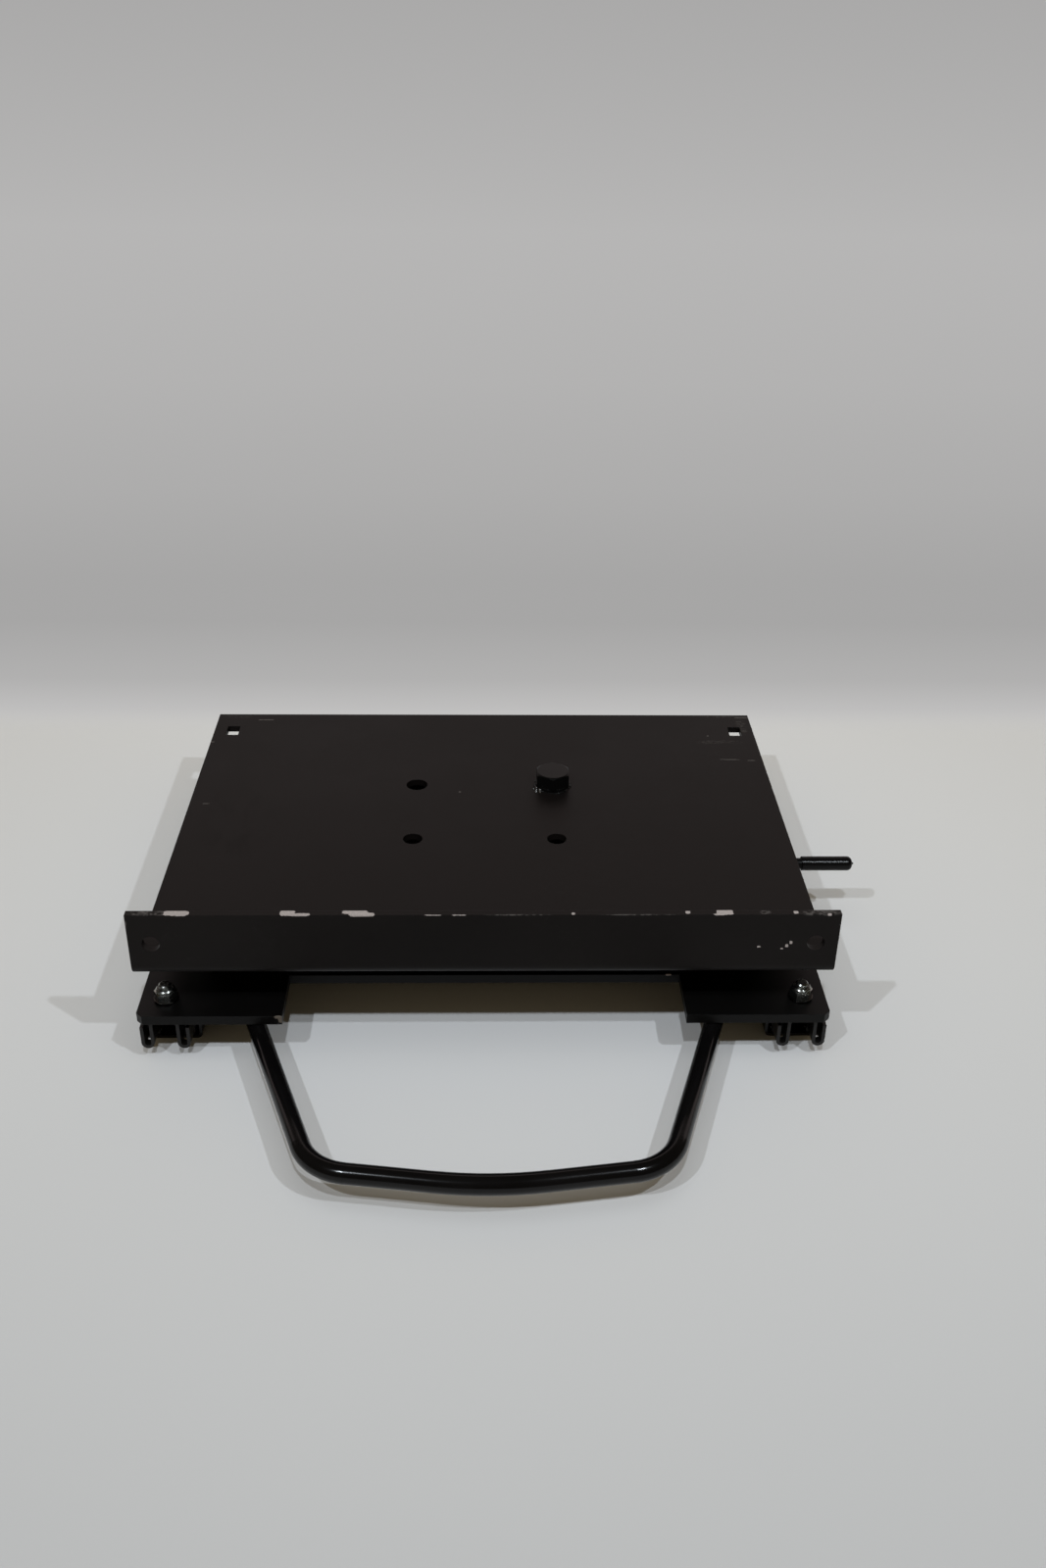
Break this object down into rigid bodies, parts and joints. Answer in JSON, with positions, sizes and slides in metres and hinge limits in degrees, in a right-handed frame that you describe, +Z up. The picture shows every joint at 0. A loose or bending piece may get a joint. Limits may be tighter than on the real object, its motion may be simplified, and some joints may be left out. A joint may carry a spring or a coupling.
{
  "type": "swivel seat base",
  "caption": "Black steel swivel base for a camper seat: top plate on an offset pivot, interlocking slide rails with rocking latches, a front release handle and a side swivel lever",
  "frame": {"origin": "on the floor plane, at the centre of the floor rails' four bolt holes", "axes": "X to the right as seen from the front handle, Y from the handle to the back, Z up"},
  "size_m": [0.4929, 0.5379, 0.1145],
  "materials": {
    "rail_paint": "satin black powder coat",
    "plate_paint": "satin black powder coat, chipped and scratched on its edges",
    "frame_paint": "satin black powder coat",
    "handle_coat": "gloss black coat",
    "grip_vinyl": "dipped gloss black vinyl",
    "acetal": "plain white acetal",
    "zinc": "bright zinc plating",
    "yellow_zinc": "yellow passivated zinc plating",
    "spring_steel": "bright drawn wire"
  },
  "bodies": {
    "floor_rails": {"floor_rail_left": "rail_paint", "floor_rail_right": "rail_paint"},
    "carriage": {"slide_rail_left": "rail_paint", "slide_rail_right": "rail_paint", "glides_left": "acetal", "glides_right": "acetal", "lower_plate": "frame_paint", "front_bearer": "frame_paint", "rear_bearer": "frame_paint", "front_glide_strip": "acetal", "rear_glide_strip": "acetal", "pivot_boss": "frame_paint", "thrust_washer": "acetal", "rail_bolts": "zinc", "rail_washers": "zinc", "rail_nuts": "zinc", "handle_lugs_left": "frame_paint", "handle_lugs_right": "frame_paint", "handle_pins": "zinc", "latch_bracket_left": "frame_paint", "latch_bracket_right": "frame_paint", "latch_pins": "zinc", "latch_spring_left": "spring_steel", "latch_spring_right": "spring_steel", "lever_bush": "zinc", "lever_bolt": "zinc", "lever_washer": "zinc", "lever_nut": "zinc", "lever_spring": "spring_steel", "spring_post": "zinc"},
    "swivel": {"top_plate": "plate_paint", "catch_keepers": "plate_paint", "pivot_bolt": "plate_paint", "pivot_washer": "yellow_zinc", "pivot_nut": "zinc"},
    "handle": {"handle_bar": "handle_coat"},
    "left_latch": {"latch_left": "yellow_zinc"},
    "right_latch": {"latch_right": "yellow_zinc"},
    "lock_lever": {"lever_crank": "yellow_zinc", "catch_pin": "zinc", "lever_rod": "frame_paint", "lever_grip": "grip_vinyl"}
  },
  "joints": [
    {"name": "seat_slide", "type": "slide", "parent": "floor_rails", "child": "carriage", "axis": [0, 1, 0], "range_m": [-0.045, 0.135]},
    {"name": "swivel_turn", "type": "hinge", "parent": "carriage", "child": "swivel", "pos_m": [0.0515, 0.0225, 0.07], "axis": [0, 0, 1], "range_deg": [-180, 180]},
    {"name": "handle_lift", "type": "hinge", "parent": "carriage", "child": "handle", "pos_m": [0, -0.18, 0.0243], "axis": [1, 0, 0], "range_deg": [0, 4.2], "deforming": ["latch_spring_left", "latch_spring_right"]},
    {"name": "left_latch_turn", "type": "hinge", "parent": "carriage", "child": "left_latch", "pos_m": [-0.178, -0.11, 0.0065], "axis": [0, -1, 0], "range_deg": [0, 15]},
    {"name": "right_latch_turn", "type": "hinge", "parent": "carriage", "child": "right_latch", "pos_m": [0.178, -0.11, 0.0065], "axis": [0, 1, 0], "range_deg": [0, 15]},
    {"name": "lever_swing", "type": "hinge", "parent": "carriage", "child": "lock_lever", "pos_m": [0.14097, 0.00374, 0.0525], "axis": [0, 0, -1], "range_deg": [0, 7.5], "deforming": ["lever_spring"]}
  ],
  "couplings": [
    {"joint": "left_latch_turn", "follows": "handle_lift", "ratio": 3.57},
    {"joint": "right_latch_turn", "follows": "handle_lift", "ratio": 3.57}
  ]
}
